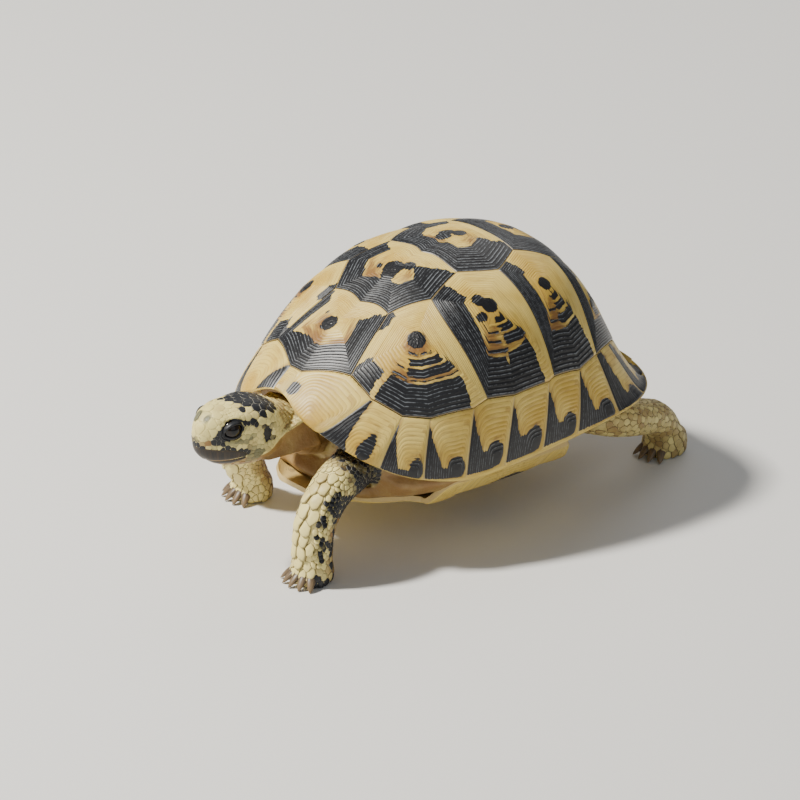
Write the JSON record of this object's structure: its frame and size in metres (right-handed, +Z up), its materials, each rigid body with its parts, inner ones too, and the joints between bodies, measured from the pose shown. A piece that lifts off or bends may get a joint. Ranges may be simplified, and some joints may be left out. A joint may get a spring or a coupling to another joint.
{
  "type": "tortoise model",
  "caption": "Still, life-size model of a spur-thighed tortoise in mid-stride, head out and level, on the soles of its feet.",
  "frame": {"origin": "middle of the bounding box's footprint, on the floor that the soles rest on", "axes": "+Z up; the head looks along -Y; the animal's left side is +X"},
  "size_m": [0.1238, 0.2314, 0.1103],
  "materials": {
    "carapace_horn": "satin, ridged horn, yellow with black and brown marks",
    "rim_horn": "satin, ridged horn, yellow with black triangles",
    "belly_horn": "satin, worn smooth, yellow with dark patches",
    "skin": "dry, scaled, yellow and dark brown",
    "head_skin": "dry, scaled, yellow with black scales",
    "beak": "satin dark horn",
    "eye": "wet gloss"
  },
  "bodies": {
    "root": {"vertebral_1": "carapace_horn", "vertebral_2": "carapace_horn", "vertebral_3": "carapace_horn", "vertebral_4": "carapace_horn", "vertebral_5": "carapace_horn", "costal_left_1": "carapace_horn", "costal_left_2": "carapace_horn", "costal_left_3": "carapace_horn", "costal_left_4": "carapace_horn", "marginal_left_1": "rim_horn", "marginal_left_2": "rim_horn", "marginal_left_3": "rim_horn", "marginal_left_4": "rim_horn", "marginal_left_5": "rim_horn", "marginal_left_6": "rim_horn", "marginal_left_7": "rim_horn", "marginal_left_8": "rim_horn", "marginal_left_9": "rim_horn", "marginal_left_10": "rim_horn", "marginal_left_11": "rim_horn", "costal_right_1": "carapace_horn", "costal_right_2": "carapace_horn", "costal_right_3": "carapace_horn", "costal_right_4": "carapace_horn", "marginal_right_1": "rim_horn", "marginal_right_2": "rim_horn", "marginal_right_3": "rim_horn", "marginal_right_4": "rim_horn", "marginal_right_5": "rim_horn", "marginal_right_6": "rim_horn", "marginal_right_7": "rim_horn", "marginal_right_8": "rim_horn", "marginal_right_9": "rim_horn", "marginal_right_10": "rim_horn", "marginal_right_11": "rim_horn", "nuchal": "rim_horn", "supracaudal": "rim_horn", "plastron_gular": "belly_horn", "plastron_humeral": "belly_horn", "plastron_pectoral": "belly_horn", "plastron_abdominal": "belly_horn", "plastron_femoral": "belly_horn", "plastron_anal": "belly_horn", "trunk": "skin", "neck": "skin", "tail": "skin", "leg_front_left": "skin", "leg_front_right": "skin", "leg_hind_left": "skin", "leg_hind_right": "skin", "foot_front_left": "skin", "foot_front_right": "skin", "foot_hind_left": "skin", "foot_hind_right": "skin", "head": "head_skin", "lower_jaw": "beak", "eye_left": "eye", "eye_right": "eye"}
  },
  "joints": []
}
